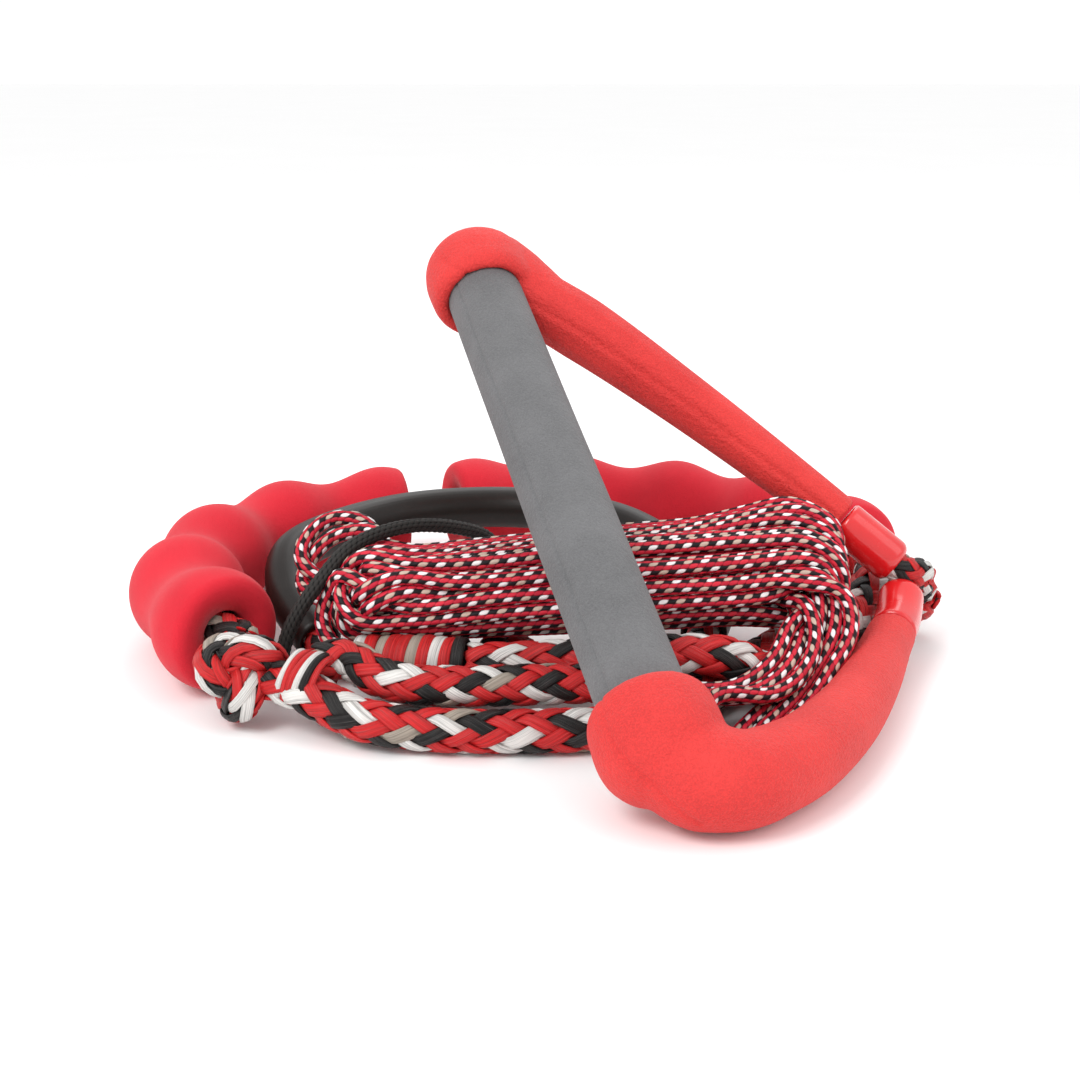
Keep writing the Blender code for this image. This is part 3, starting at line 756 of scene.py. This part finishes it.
def line_points():
    """The main line's route: whipping, the hank's turns, then the boat loop's knot."""
    points = list(FEED)
    turns = hank_slots()
    for i, ((a, b), (under, under_b)) in enumerate(turns):
        wobble = RNG.uniform(-0.035, 0.035, 8)
        inner = (1 - b) * 9 * MM
        left = HANK_LEFT + inner * 0.7 + RNG.uniform(-2, 2) * MM
        right = HANK_RIGHT - inner * 0.5 + RNG.uniform(-1.5, 1.5) * MM
        xs = np.linspace(left, right, 8)
        going = [slot_point(x, a + w * 0.6, b + w) for x, w in zip(xs, wobble)]
        coming = [slot_point(x, under - w * 0.6, under_b + w) for x, w in zip(xs[::-1], wobble)]
        points += going
        if i in LOW_LOOPS:
            s = (i // 2 - 1) * 6.2 * MM
            points += [(x - s * share, y, z) for x, y, z, share in LOW_LOOP]
        else:
            points += fold(going[-1], coming[0], 1, 15 * MM * (0.75 + 0.5 * b))
        points += coming
        if i in HIGH_LOOPS:
            s = HIGH_LOOPS[i] * 3.2 * MM
            points += [(x, y + s * in_y, z + s * in_z) for x, y, z, in_y, in_z in HIGH_LOOP]
        elif i + 1 < len(turns):
            a, b = turns[i + 1][0]
            start = slot_point(HANK_LEFT + (1 - b) * 6 * MM, a, b)
            points += fold(coming[-1], start, -1, 9 * MM)
    return [*points, *LINE_END]


def sphere_row(path, radius, every):
    pts = evenly(np.asarray(path, float), every)
    return np.column_stack([pts, np.broadcast_to(radius, (len(pts),))])


def obstacles():
    """What the line lies against, as rows of spheres: place and radius."""
    low = route(LOWER_ARM, 3 * MM)
    low_r = np.interp(running(low), np.linspace(0, length_of(low), len(LOWER_RADII)), LOWER_RADII)
    line_whipping = ((-0.0225, -0.0572, 0.0181), (-0.0576, -0.0500, 0.0163))
    ropes = ((ring_points(), ROPE_R), (LEADER, ROPE_R), (TAIL, TAIL_R), (HOOP, HOSE_R))
    return np.vstack(
        [
            *(sphere_row(route(points, 3 * MM), radius, 3 * MM) for points, radius in ropes),
            sphere_row(route(TIE, 2 * MM), TIE_D / 2, 2 * MM),
            sphere_row(line_whipping, 9.0 * MM, 3 * MM),
            np.column_stack([low, low_r]),
            sphere_row((UPPER_CORNER, LOWER_CORNER), GRIP_R, 4 * MM),
        ]
    )


def near_pairs(x, y, reach, skip=0):
    """Index pairs of rows of x and y that are closer than reach."""
    one, two = [], []
    for start in range(0, len(x), 400):
        d2 = ((x[start : start + 400, None] - y[None]) ** 2).sum(axis=2)
        i, j = np.nonzero(d2 < reach * reach)
        i += start
        keep = j - i > skip if skip else np.ones(len(i), bool)
        one.append(i[keep])
        two.append(j[keep])
    return np.concatenate(one), np.concatenate(two)


def even_out(x, step):
    """Draws each pair of neighbours toward one step apart."""
    for first in (0, 1):
        a, b = x[first:-1:2], x[first + 1 :: 2]
        a = a[: len(b)]
        d = b - a
        span = np.linalg.norm(d, axis=1)[:, None]
        fix = d * (0.25 * (span - step) / np.maximum(span, 1e-9))
        a += fix
        b -= fix


def open_folds(x, step):
    """Pushes the two ends of a short stretch apart where it bends tighter than the least radius."""
    chord = 8
    least = 2 * LEAST_BEND_R * math.sin(min(chord * step / 2 / LEAST_BEND_R, math.pi / 2))
    d = x[chord:] - x[:-chord]
    span = np.linalg.norm(d, axis=1)[:, None]
    push = d / np.maximum(span, 1e-9) * np.clip(least - span, 0, None) * 0.12
    x[chord:] += push
    x[:-chord] -= push


def part_turns(x, i, j):
    """Moves turns that overlap apart, each by half; i and j are pairs of near points."""
    d = x[j] - x[i]
    span = np.linalg.norm(d, axis=1)
    short = np.clip(LINE_D * 0.97 - span, 0, None)
    push = d * (short / np.maximum(span, 1e-6) * 0.5)[:, None]
    hits = np.bincount(i, short > 0, len(x)) + np.bincount(j, short > 0, len(x))
    for k in range(3):
        shift = np.bincount(j, push[:, k], len(x)) - np.bincount(i, push[:, k], len(x))
        x[:, k] += shift / np.maximum(1.0, hits) * 1.4


def clear_solids(x, i, near):
    """Moves the line out of the spheres that it overlaps; near holds one sphere for each i."""
    d = x[i] - near[:, :3]
    span = np.linalg.norm(d, axis=1)
    short = np.clip(near[:, 3] + LINE_D / 2 - span, 0, None)
    push = d * (short / np.maximum(span, 1e-6))[:, None]
    hits = np.bincount(i, short > 0, len(x))
    for k in range(3):
        x[:, k] += np.bincount(i, push[:, k], len(x)) / np.maximum(1.0, hits)


def draw_in(x):
    """Squeezes the hank's straight stretch toward its outline."""
    cy, cz, hy, hz = hank_at(x[:, 0])
    room = 2.9 * MM
    across = np.column_stack([(x[:, 1] - cy) / (hy - room), (x[:, 2] - cz) / (hz - room)])
    out = np.linalg.norm(across, axis=1)
    straight = (x[:, 0] > -0.048) & (x[:, 0] < 0.066) & (out > 0.3) & (out < 1.6)
    tight = np.where(straight, 0.006 * MM + 0.6 * MM * np.clip(out - 1.0, 0, 0.5), 0.0)
    toward = np.column_stack([cy - x[:, 1], cz - x[:, 2]])
    x[:, 1:] += toward / np.maximum(np.linalg.norm(toward, axis=1), 1e-6)[:, None] * tight[:, None]


def settle(path, step, rounds):
    """Moves the line's turns apart until they only touch, and rounds off its tight folds."""
    x = path.copy()
    home = path.copy()
    fixed = len(evenly(np.array(FEED[:2]), step))
    solid = obstacles()
    for number in range(rounds):
        pull = 0.02 if number < rounds * 0.6 else 0.004
        if number % 10 == 0:
            i, j = near_pairs(x, x, LINE_D * 1.7, 4)
            solid_i, solid_j = near_pairs(x, solid[:, :3], 24 * MM)
        x += (home - x) * pull
        x[1:-1] += 0.12 * ((x[:-2] + x[2:]) / 2 - x[1:-1])
        even_out(x, step)
        open_folds(x, step)
        part_turns(x, i, j)
        clear_solids(x, solid_i, solid[solid_j])
        draw_in(x)
        x[:, 2] = np.maximum(x[:, 2], LINE_D / 2 + 0.1 * MM)
        x[:fixed] = home[:fixed]
        x[-fixed:] = home[-fixed:]
    x = evenly(route(x, 1.0 * MM), step)
    for _ in range(3):
        x[1:-1] += 0.35 * ((x[:-2] + x[2:]) / 2 - x[1:-1])
    return x


def solid_braid(name, path, diameter, stitch):
    """A braided cord whose stitches stand proud of it in rows."""
    path = evenly(path, stitch / 2)
    run = running(path) / stitch
    sides = ROWS * 2
    k = np.arange(sides)
    starts = (k // 2)[None] * STITCH_SHIFT - 0.5
    crown = 0.5 + 0.5 * np.cos(2 * math.pi * (run[:, None] + starts))
    high = np.where(k % 2 == 1, 0.35 + 0.65 * crown, 0.0)
    verts, quads, caps = loft(swept(path, diameter / 2 * (0.90 + 0.13 * high), sides))
    values = {"weave": ring_values(len(path), sides, run, ROWS)}
    return mesh_object(name, verts, quads, caps, values), path


def make_line():
    """The main line from its whipping to the boat loop's knot."""
    path = route(line_points(), LINE_STEP)
    path = settle(path, LINE_STEP, 260)
    obj, path = solid_braid("main_line", route(path, 1.0 * MM), LINE_D, STITCH)
    nodes = ("main_line_feed", "main_line_hank", "hank_low_turns", "hank_end_loops")
    dress(obj, "line_braid", "rope", *nodes)
    return obj, path, length_of(path)


# ---- ropes and knots


def trefoil(centre, size, axis, tube_r, thickness):
    """The closed route of an overhand knot, flat side along axis."""
    turn = turned_to(axis)
    t = np.linspace(0, 2 * math.pi, 90)
    x = (np.sin(t) + 2 * np.sin(2 * t)) / 3
    y = (np.cos(t) - 2 * np.cos(2 * t)) / 3
    z = -np.sin(3 * t)
    local = np.column_stack([x * (size - tube_r), y * (size - tube_r), z * thickness])
    return np.asarray(centre) + local @ turn.T


def wraps(name, centre, axis, radius, length, tones, tilt=0.12):
    """Turns of flat yarn side by side round a rope."""
    axis = unit(axis)
    turn = turned_to(axis)
    count = len(tones)
    width = length / count * 1.22
    a = np.linspace(0, 2 * math.pi, 49)
    strands = []
    for k, tone in enumerate(tones):
        z = (k + 0.5) / count - 0.5
        r = radius - 0.9 * MM + RNG.uniform(-0.25, 0.35) * MM
        r -= 0.9 * MM * (abs(z) * 2) ** 4
        lean = tilt + RNG.uniform(-0.06, 0.06)
        phase = RNG.uniform(0, 6.28)
        local = np.column_stack(
            [
                r * np.cos(a),
                r * np.sin(a),
                z * length + lean * r * np.sin(a + 0.4) + 0.35 * MM * np.sin(2 * a + phase),
            ]
        )
        out = np.column_stack([np.cos(a), np.sin(a), 0 * a]) @ turn.T
        centres = np.asarray(centre) + local @ turn.T
        strands.append((flat_strand(centres, out, width, 2.0 * MM), tone + k / 100))
    return joined(name, strands)


def make_ropes():
    """The thick rope's two runs and tail, with the stopper knot and the whippings."""
    whip = wraps(
        "knot_whipping_yarn", WHIPPING_CENTRE, WHIPPING_AXIS, 10.0 * MM, 12.5 * MM,
        (WHITE, RED, RED, WHITE, BLACK, RED), 0.22,
    )
    dress(whip, "thick_braid", "rope", "knot_whipping")

    facing = (-0.25, -1.0, 0.35)
    knot_route = trefoil(KNOT_CENTRE, 16.2 * MM, facing, 6.0 * MM, 4.8 * MM)
    knot, _ = braid("stopper_knot_braid", knot_route, 6.3 * MM, 60 * MM, 4.0 * MM, 1.4 * MM)
    dress(knot, "thick_braid", "rope", "stopper_knot")

    ring, ring_path = braid("ring_rope_braid", ring_points(), ROPE_R)
    dress(ring, "thick_braid", "rope", "ring_rope")
    out = unit(ring_path[-1] - ring_path[-2])
    axis = unit((-0.975, 0.20, -0.05))
    length = 38 * MM
    centre = ring_path[-1] + out * 1.6 * MM + axis * length / 2
    band = wraps(
        "line_whipping_yarn", centre, -axis, 9.3 * MM, length,
        (WHITE, RED, SAND, RED, RED, SAND, RED, WHITE, RED, BLACK), 0.05,
    )
    dress(band, "thick_braid", "rope", "line_whipping")

    throat = ((-0.0722, -0.0745, 0.0148), (-0.0835, -0.0690, 0.0170))
    leader, leader_path = braid("leader_rope_braid", [*LEADER, *throat], ROPE_R)
    dress(leader, "thick_braid", "rope", "leader_rope")
    root = (-0.0695, -0.0655, 0.0215)
    tail_r = TAIL_R + 0.6 * MM
    tail, tail_path = braid("splice_tail_braid", [root, *TAIL], tail_r, 66 * MM, 4.3 * MM)
    dress(tail, "thick_braid", "rope", "splice_tail")
    cap_axis = unit(tail_path[-1] - tail_path[-3])
    cap_at = tail_path[-1] + cap_axis * 2.9 * MM
    cap = wraps("splice_tail_band", cap_at, cap_axis, 6.4 * MM, 5 * MM, (BLACK, BLACK))
    dress(cap, "tie_braid_black", "rope", "splice_tail_cap")

    return {
        "whip": whip,
        "knot": knot,
        "ring": (ring, ring_path),
        "band": band,
        "leader": (leader, leader_path),
        "tail": (tail, tail_path),
        "cap": cap,
    }


def make_tie():
    """The black cord round the hank, and the knot that closes it."""
    tie, path = solid_braid("tie_cord_braid", route(TIE, 0.9 * MM), TIE_D, 2.4 * MM)
    dress(tie, "tie_braid_black", "rope", "tie_cord")
    knot_centre = np.array(TIE[-1]) + np.array((0.0, 0.0, -4.8 * MM))
    loop = trefoil(knot_centre, 4.4 * MM, (0.3, -1.0, 0.2), 1.7 * MM, 1.5 * MM)
    knot, _ = solid_braid("tie_cord_overhand", evenly(loop, 0.7 * MM), 3.4 * MM, 1.8 * MM)
    dress(knot, "tie_braid_black", "rope", "tie_cord_knot")
    return tie, path, knot


def make_boat_loop():
    """The boat loop's rope, the hose on it and the knot that both its tails end in."""
    into_knot = ((-0.0125, -0.0300, 0.0085), (0.0002, -0.0295, 0.0085))
    whole = [into_knot[0], *reversed(HOOP_LEFT_TAIL), *HOOP, *HOOP_RIGHT_TAIL, into_knot[1]]
    rope, path = braid("boat_loop_braid", whole, LOOP_ROPE_R, 46 * MM, 3.6 * MM, 1.2 * MM)
    dress(rope, "thick_braid", "rope", "boat_loop_rope")
    hoop = route(HOOP, 3 * MM)
    sides = 32
    outer = swept(hoop, HOSE_R, sides)
    rings = np.vstack([outer, swept(hoop, HOSE_BORE_R, sides)[::-1], outer[:1]])
    values = {"weave": ring_values(len(rings), sides, running(rings.mean(axis=1)))}
    hose = mesh_object("boat_loop_sleeve", *closed_loft(rings), values=values)
    dress(hose, "hose_black", "rope", "boat_loop_hose")
    knot_route = trefoil(BOAT_KNOT_CENTRE, 13.0 * MM, (0.1, 0.1, 1.0), 4.3 * MM, 4.2 * MM)
    knot, _ = braid("boat_loop_overhand", knot_route, 4.4 * MM, 36 * MM, 3.0 * MM, 1.0 * MM)
    dress(knot, "thick_braid", "rope", "boat_loop_knot")
    return rope, path, hose, knot


# ---- foam and sleeves


def remeshed(node, name, voxel, smooth_steps, grow, flare):
    """A smooth foam copy of a CAD node, its creases filled with a flare: (place, radius) rows."""
    source = NODES[node]
    mesh = source.data.copy()
    mesh.name = name
    obj = bpy.data.objects.new(name, mesh)
    obj.matrix_world = source.matrix_world.copy()
    SCENE.collection.objects.link(obj)
    shape = bmesh.new()
    shape.from_mesh(mesh)
    to_local = obj.matrix_world.inverted()
    for place, radius in flare:
        spot = Matrix.Translation(to_local @ Vector(place))
        bmesh.ops.create_icosphere(shape, subdivisions=3, radius=radius, matrix=spot)
    shape.to_mesh(mesh)
    shape.free()
    remesh = obj.modifiers.new("skin", "REMESH")
    remesh.mode = "VOXEL"
    remesh.voxel_size = voxel
    smooth = obj.modifiers.new("melt", "SMOOTH")
    smooth.factor = 0.5
    smooth.iterations = smooth_steps
    grown = obj.modifiers.new("plump", "DISPLACE")
    grown.strength = grow
    grown.mid_level = 0.0
    bpy.context.view_layer.update()
    depsgraph = bpy.context.evaluated_depsgraph_get()
    done = bpy.data.meshes.new_from_object(obj.evaluated_get(depsgraph))
    obj.modifiers.clear()
    obj.data = done
    done.shade_smooth()
    return obj


def vertex_rows(mesh, key):
    """A mesh's vertex places ("co") or normals ("normal"), one row for each vertex."""
    flat = np.empty(len(mesh.vertices) * 3)
    mesh.vertices.foreach_get(key, flat)
    return flat.reshape(-1, 3)


def moulding_line(obj, centre_path, side, depth, width):
    """Presses a fine parting line into the skin, on the given side of a centre path."""
    mesh = obj.data
    co = vertex_rows(mesh, "co")
    tangents, _, _ = side_frames(centre_path)
    away = np.empty_like(co)
    ahead = np.empty_like(co)
    for start in range(0, len(co), 2000):
        some = slice(start, start + 2000)
        k = ((co[some, None] - centre_path[None]) ** 2).sum(axis=2).argmin(axis=1)
        away[some] = co[some] - centre_path[k]
        ahead[some] = tangents[k]
    plane = np.cross(ahead, side)
    plane /= np.linalg.norm(plane, axis=1)[:, None]
    off = (away * plane).sum(axis=1)
    facing = (away * np.asarray(side)).sum(axis=1) > 0
    press = depth * np.exp(-((off / width) ** 2)) * facing
    co -= vertex_rows(mesh, "normal") * press[:, None]
    mesh.vertices.foreach_set("co", co.ravel())
    mesh.update()


def make_grip():
    """The foam grip: a long soft-edged tube with a parting groove."""
    axis = unit(LOWER_CORNER - UPPER_CORNER)
    middle = (UPPER_CORNER + LOWER_CORNER) / 2
    turn = turned_to(axis)
    half = GRIP_LENGTH / 2
    inner = 9.8 * MM
    sides = 180
    a = np.linspace(0, 2 * math.pi, sides, endpoint=False)
    edge = [(GRIP_R - 1.0 * MM, half), (GRIP_R - 0.3 * MM, half - 0.3 * MM)]
    heights = np.linspace(-half + 1.0 * MM, half - 1.0 * MM, 150)
    profile = [(inner, -half), *((r, -z) for r, z in edge), *((GRIP_R, z) for z in heights)]
    profile += [*reversed(edge), (inner, half), (inner, -half)]
    toward = np.asarray(CAMERA_AT) - middle
    local = turn.T @ (toward - axis * toward.dot(axis))
    front = math.atan2(local[1], local[0])
    rings = []
    for r, z in profile:
        radius = np.full(sides, r)
        if r > inner:
            groove = front + 0.62 + 0.012 * math.sin(z * 90) + 0.006 * math.sin(z * 310)
            off = ((a - groove + math.pi) % (2 * math.pi) - math.pi) * GRIP_R
            radius -= 0.50 * MM * np.exp(-((off / (0.55 * MM)) ** 2))
            radius += 0.07 * MM * np.sin(2 * a + z * 40) + 0.05 * MM * math.sin(z * 75)
        rings.append(np.column_stack([radius * np.cos(a), radius * np.sin(a), np.full(sides, z)]))
    grip = mesh_object("grip_sleeve", *closed_loft(middle + np.array(rings) @ turn.T))
    dress(grip, "grip_foam_grey", "handle", "grip_foam")


def make_arms():
    """The two moulded foam arms, each with a bulb that swells along its first few centimetres."""
    grip_way = unit(LOWER_CORNER - UPPER_CORNER)
    flare_runs = (0, 9, 17, 28)
    for node, arm, way, shifts, radii in (
        ("arm_upper", UPPER_ARM, -grip_way, (-6.5, 2.2, 2.0, 1.0), (16.2, 15.8, 14.8, 12.4)),
        ("arm_lower", LOWER_ARM, grip_way, (-6.5, 0.4, 0.0, 0.0), (16.2, 15.8, 14.7, 13.4)),
    ):
        flare = []
        for place in route(arm, 2 * MM)[1:15]:
            run = float(np.linalg.norm(place - np.array(arm[0]))) / MM
            shift = np.interp(run, flare_runs, shifts) * MM
            flare.append((place + way * shift, np.interp(run, flare_runs, radii) * MM))
        obj = remeshed(node, node + "_moulding", 1.0 * MM, 12, 0.30 * MM, flare)
        if node == "arm_upper":
            moulding_line(obj, route(arm, 2 * MM), (0.35, -0.85, -0.20), 0.55 * MM, 0.9 * MM)
        else:
            bulb = (LOWER_CORNER - grip_way * 26 * MM, LOWER_CORNER + grip_way * 10 * MM)
            middle = evenly(np.array(bulb), 2 * MM)
            moulding_line(obj, middle, (-0.62, -0.72, 0.20), 0.60 * MM, 0.9 * MM)
        dress(obj, "arm_foam_red", "handle", node)


def make_ferrules():
    """The dipped sleeve on each arm's end, with a soft lip and a rounded tip."""
    for node, arm in (("arm_ferrule_upper", UPPER_ARM), ("arm_ferrule_lower", LOWER_ARM)):
        path = route(arm, 0.8 * MM)
        run = running(path)
        keep = run > run[-1] - FERRULE_LENGTH
        path = path[keep]
        run = run[keep] - run[keep][0]
        lip = np.clip((1.2 * MM - run) / (1.2 * MM), 0, 1)
        tip = np.clip((run - run[-1] + 5 * MM) / (5 * MM), 0, 1)
        r = FERRULE_R + 0.35 * MM - 0.9 * MM * lip**2
        r *= np.sqrt(np.clip(1 - (0.86 * tip) ** 3.2, 0.02, 1))
        obj = mesh_object(node + "_sleeve", *loft(swept(path, r, 48)))
        dress(obj, "sleeve_gloss_red", "handle", node)


def make_floats():
    """Two wavy foam floats, each bent to a circle and bored for the thick rope."""
    for name, bend in (("float_left", FLOAT_LEFT), ("float_right", FLOAT_RIGHT)):
        radius, low, high = bend[1:]
        end = math.degrees(FLOAT_END / radius)
        pitch = (high - low - 2 * end) / (FLOAT_CRESTS - 1)
        degrees = np.linspace(low, high, 220)
        path = np.array([bend_point(bend, d) for d in degrees])
        wave = 0.5 + 0.5 * np.cos(2 * math.pi * (degrees - low - end) / pitch)
        r = FLOAT_WAIST_R + (FLOAT_CREST_R - FLOAT_WAIST_R) * wave
        from_end = np.radians(np.minimum(degrees - low, high - degrees)) * radius
        edge = np.clip(1 - from_end / FLOAT_ROUNDING, 0, 1)
        r -= FLOAT_ROUNDING * (1 - np.sqrt(np.clip(1 - edge**2, 0, 1)))
        outer = swept(path, r, 80)
        bore = swept(path, FLOAT_BORE_R, 80)[::6][::-1]
        obj = mesh_object(name + "_foam", *closed_loft(np.vstack([outer, bore, outer[:1]])))
        dress(obj, "float_foam_red", name, name)


def make_vertex():
    """Where the handle's rope leaves both sleeves and meets the splice."""
    up_end, up_before = np.array(UPPER_ARM[-1]), np.array(UPPER_ARM[-2])
    low_end, low_before = np.array(LOWER_ARM[-1]), np.array(LOWER_ARM[-2])
    up_way, low_way = unit(up_end - up_before), unit(low_end - low_before)
    bridle_route = [
        up_end - up_way * 8 * MM,
        up_end + up_way * 3 * MM,
        VERTEX + np.array((0.0005, 0.001, 0.001)),
        low_end + low_way * 3.5 * MM,
        low_end - low_way * 8 * MM,
    ]
    bridle, _ = braid("bridle_braid", bridle_route, 5.6 * MM, 40 * MM, 3.6 * MM, 1.2 * MM)
    dress(bridle, "thick_braid", "handle", "bridle_rope")
    centre = VERTEX + np.array((0.0, 0.004, -0.003))
    knot_route = trefoil(centre, 8.2 * MM, (1.0, -0.4, 0.2), 3.6 * MM, 3.0 * MM)
    splice, _ = braid("vertex_splice_braid", knot_route, 3.9 * MM, 30 * MM, 2.8 * MM, 0.9 * MM)
    dress(splice, "thick_braid", "rope", "vertex_splice")


# ---- studio


def make_studio():
    """A pale floor, soft white surroundings and three area lamps."""
    bpy.ops.mesh.primitive_plane_add(size=24.0, location=(0.0, 3.0, -0.0002))
    floor = bpy.context.object
    floor.name = "floor"
    t = Tree("pale_floor")
    cloud = t.ramp(t.noise(3.0, 2.0, t.place()), 0.2, 0.8)
    tone = t.mix(cloud, (0.94, 0.94, 0.94), (0.96, 0.96, 0.96))
    floor.data.materials.append(t.finish(tone, Roughness=0.9))
    world = bpy.data.worlds.new("soft_room")
    world.use_nodes = True
    sky = world.node_tree.nodes["Background"]
    sky.inputs["Color"].default_value = (1.0, 1.0, 1.0, 1.0)
    sky.inputs["Strength"].default_value = 1.03
    SCENE.world = world
    for name, place, size, power in (
        ("key", (-0.75, -0.9, 1.25), 0.7, 13.0),
        ("fill", (1.1, -0.5, 0.9), 1.0, 3.5),
        ("back", (0.2, 1.3, 1.2), 1.0, 5.0),
    ):
        data = bpy.data.lights.new(name, "AREA")
        data.size = size
        data.energy = power
        lamp = bpy.data.objects.new(name, data)
        lamp.location = place
        aim = Vector((0.0, -0.02, 0.03)) - Vector(place)
        lamp.rotation_euler = aim.to_track_quat("-Z", "Y").to_euler()
        SCENE.collection.objects.link(lamp)
    SCENE.view_settings.view_transform = "Standard"


# ---- build

make_camera()
line, line_path, line_length = make_line()
ropes = make_ropes()
tie, tie_path, tie_knot = make_tie()
loop, loop_path, hose, boat_knot = make_boat_loop()
make_vertex()

make_grip()
make_arms()
make_ferrules()
make_floats()
for node, slot in (
    ("core_tube", "core_alloy"),
    ("core_bush_upper", "bush_plastic"),
    ("core_bush_lower", "bush_plastic"),
):
    NODES[node].data.materials.clear()
    NODES[node].data.materials.append(MATS[slot])
make_studio()
